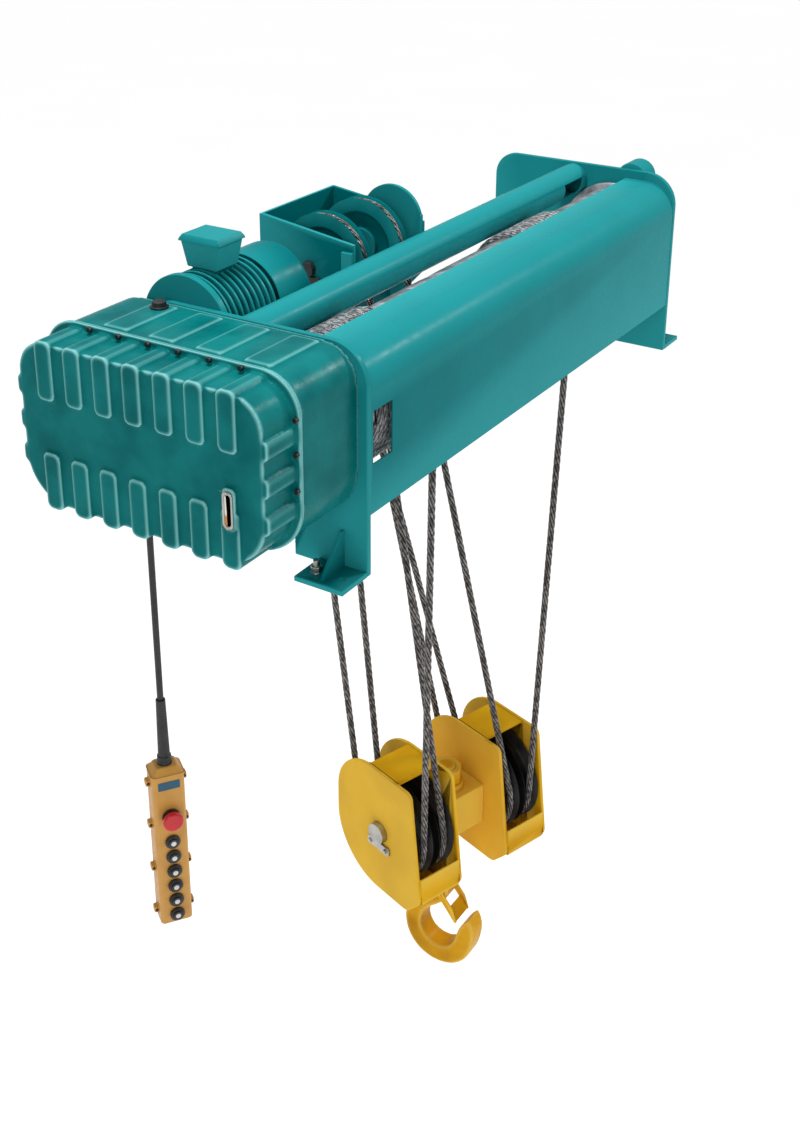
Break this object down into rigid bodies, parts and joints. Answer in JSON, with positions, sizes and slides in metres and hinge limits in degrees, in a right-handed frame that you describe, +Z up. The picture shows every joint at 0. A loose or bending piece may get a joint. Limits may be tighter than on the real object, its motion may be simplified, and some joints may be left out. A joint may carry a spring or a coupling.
{
  "type": "electric wire rope hoist",
  "caption": "Foot-mounted electric wire rope hoist with a covered drum, ribbed gear case, rear motor, twin-housing hook block on rope falls and a hanging push-button pendant.",
  "frame": {"origin": "middle of the foot bolt pattern, on the underside of the feet", "axes": "+X along the drum from the gear case to the far plate, +Y from the drum cover to the motor, +Z up"},
  "size_m": [2.732, 0.9847, 3.1],
  "materials": {
    "green_paint": "gloss enamel over primer",
    "yellow_paint": "gloss enamel",
    "wire_rope": "greased stranded steel wire",
    "drum_rope": "bright stranded steel wire",
    "black_paint": "satin black",
    "drum_steel": "turned steel",
    "sheave_iron": "dark cast iron with worn grooves",
    "shaft_steel": "ground steel",
    "gear_steel": "hobbed and oiled",
    "zinc_bolt": "zinc plated",
    "gauge_glass": "clear over amber oil",
    "windings": "laminated core",
    "pendant_case": "moulded plastic",
    "black_rubber": "matte",
    "black_plastic": "satin",
    "red_button": "gloss",
    "blue_label": "printed film"
  },
  "bodies": {
    "frame": {"near_end_plate": "green_paint", "far_end_plate": "green_paint", "mounting_feet": "green_paint", "foot_studs": "zinc_bolt", "main_beam": "green_paint", "drum_cover": "green_paint", "sheave_frame": "green_paint", "upper_frame_pins": "shaft_steel", "drum_bearing_housing": "green_paint", "limit_switch_case": "green_paint", "gear_case": "green_paint", "gear_cover": "green_paint", "gear_cover_bolts": "zinc_bolt", "oil_gauge_glass": "gauge_glass", "oil_gauge_frame": "zinc_bolt", "breather_plug": "zinc_bolt", "cable_gland": "zinc_bolt", "motor_housing": "green_paint", "motor_flange": "green_paint", "motor_stator": "windings", "brake_cowl": "green_paint", "terminal_box": "green_paint", "terminal_box_lid": "green_paint", "upper_rope_wraps": "wire_rope", "drum_rope_falls": "wire_rope", "upper_rope_falls": "wire_rope", "dead_end_rope_falls": "wire_rope"},
    "rope_drum": {"drum_shell": "drum_steel", "drum_shaft": "shaft_steel", "drum_gear": "gear_steel", "rope_windings": "drum_rope", "rope_clamps": "zinc_bolt"},
    "upper_sheave_pair": {"upper_sheaves": "sheave_iron"},
    "layshaft_set": {"layshaft": "shaft_steel", "layshaft_gear": "gear_steel"},
    "motor_rotor_set": {"motor_shaft": "shaft_steel", "motor_rotor": "windings", "brake_disc": "shaft_steel"},
    "equaliser": {"equaliser_rocker": "black_paint"},
    "hook_block": {"sheave_housings": "yellow_paint", "block_pins": "shaft_steel", "crosshead": "yellow_paint", "lower_rope_wraps": "wire_rope"},
    "outer_sheave_pair": {"outer_block_sheaves": "sheave_iron"},
    "inner_sheave_pair": {"inner_block_sheaves": "sheave_iron"},
    "hook_swivel": {"hook": "yellow_paint", "hook_nut_and_bearing": "yellow_paint"},
    "latch": {"hook_latch": "yellow_paint"},
    "pendant_line": {"pendant_cable": "black_rubber"},
    "pendant_handset": {"pendant_sleeve": "black_rubber", "pendant_case": "pendant_case", "pendant_label": "blue_label", "button_collars": "black_plastic"},
    "stop_button": {"emergency_stop": "red_button"},
    "push_button_1": {"button_1": "black_plastic"},
    "push_button_2": {"button_2": "black_plastic"},
    "push_button_3": {"button_3": "black_plastic"},
    "push_button_4": {"button_4": "black_plastic"},
    "push_button_5": {"button_5": "black_plastic"},
    "push_button_6": {"button_6": "black_plastic"}
  },
  "joints": [
    {"name": "hook_lift", "type": "slide", "parent": "frame", "child": "hook_block", "axis": [0, 0, 1], "range_m": [-1.6, 1.1], "deforming": ["drum_rope_falls", "upper_rope_falls", "dead_end_rope_falls"]},
    {"name": "drum_turn", "type": "hinge", "parent": "frame", "child": "rope_drum", "pos_m": [0, -0.15, 0.44], "axis": [1, 0, 0], "continuous": true},
    {"name": "upper_sheave_turn", "type": "hinge", "parent": "frame", "child": "upper_sheave_pair", "pos_m": [-0.2, 0.275, 0.63], "axis": [1, 0, 0], "continuous": true},
    {"name": "layshaft_turn", "type": "hinge", "parent": "frame", "child": "layshaft_set", "pos_m": [-1.3, 0.08843, 0.46745], "axis": [1, 0, 0], "continuous": true},
    {"name": "motor_turn", "type": "hinge", "parent": "frame", "child": "motor_rotor_set", "pos_m": [-1, 0.265, 0.63], "axis": [1, 0, 0], "continuous": true},
    {"name": "outer_sheave_turn", "type": "hinge", "parent": "hook_block", "child": "outer_sheave_pair", "pos_m": [-0.18, -0.145, -1.455], "axis": [0.9511, -0.309, 0], "continuous": true},
    {"name": "inner_sheave_turn", "type": "hinge", "parent": "hook_block", "child": "inner_sheave_pair", "pos_m": [-0.18, -0.145, -1.455], "axis": [0.9511, -0.309, 0], "continuous": true},
    {"name": "equaliser_rock", "type": "hinge", "parent": "frame", "child": "equaliser", "pos_m": [-0.2, 0.275, 0.372], "axis": [0, 1, 0], "range_deg": [-3, 3]},
    {"name": "hook_swivel_turn", "type": "hinge", "parent": "hook_block", "child": "hook_swivel", "pos_m": [-0.18, -0.145, -1.6], "axis": [0, 0, 1], "continuous": true},
    {"name": "latch_open", "type": "hinge", "parent": "hook_swivel", "child": "latch", "pos_m": [-0.18, -0.157, -1.876], "axis": [1, 0, 0], "range_deg": [0, 36], "stiffness_Nm_per_rad": 1.6, "springref_deg": -45.84},
    {"name": "pendant_swing", "type": "hinge", "parent": "frame", "child": "pendant_line", "pos_m": [-1.315, 0.225, 0.15], "axis": [0.8192, -0.5736, 0], "range_deg": [-8, 8]},
    {"name": "pendant_twist", "type": "hinge", "parent": "pendant_line", "child": "pendant_handset", "pos_m": [-1.315, 0.225, -0.508], "axis": [0, 0, 1], "range_deg": [-90, 90]},
    {"name": "stop_press", "type": "slide", "parent": "pendant_handset", "child": "stop_button", "axis": [0.5736, 0.8192, 0], "range_m": [0, 0.007]},
    {"name": "button_1_press", "type": "slide", "parent": "pendant_handset", "child": "push_button_1", "axis": [0.5736, 0.8192, 0], "range_m": [0, 0.006], "stiffness_N_per_m": 400, "springref_m": -0.005},
    {"name": "button_2_press", "type": "slide", "parent": "pendant_handset", "child": "push_button_2", "axis": [0.5736, 0.8192, 0], "range_m": [0, 0.006], "stiffness_N_per_m": 400, "springref_m": -0.005},
    {"name": "button_3_press", "type": "slide", "parent": "pendant_handset", "child": "push_button_3", "axis": [0.5736, 0.8192, 0], "range_m": [0, 0.006], "stiffness_N_per_m": 400, "springref_m": -0.005},
    {"name": "button_4_press", "type": "slide", "parent": "pendant_handset", "child": "push_button_4", "axis": [0.5736, 0.8192, 0], "range_m": [0, 0.006], "stiffness_N_per_m": 400, "springref_m": -0.005},
    {"name": "button_5_press", "type": "slide", "parent": "pendant_handset", "child": "push_button_5", "axis": [0.5736, 0.8192, 0], "range_m": [0, 0.006], "stiffness_N_per_m": 400, "springref_m": -0.005},
    {"name": "button_6_press", "type": "slide", "parent": "pendant_handset", "child": "push_button_6", "axis": [0.5736, 0.8192, 0], "range_m": [0, 0.006], "stiffness_N_per_m": 400, "springref_m": -0.005}
  ],
  "couplings": [
    {"joint": "drum_turn", "follows": "hook_lift", "rad_per_m": -20},
    {"joint": "upper_sheave_turn", "follows": "hook_lift", "rad_per_m": -13.333},
    {"joint": "outer_sheave_turn", "follows": "hook_lift", "rad_per_m": -16.667},
    {"joint": "inner_sheave_turn", "follows": "hook_lift", "rad_per_m": -5.5556},
    {"joint": "layshaft_turn", "follows": "hook_lift", "rad_per_m": 60},
    {"joint": "motor_turn", "follows": "hook_lift", "rad_per_m": -300}
  ]
}
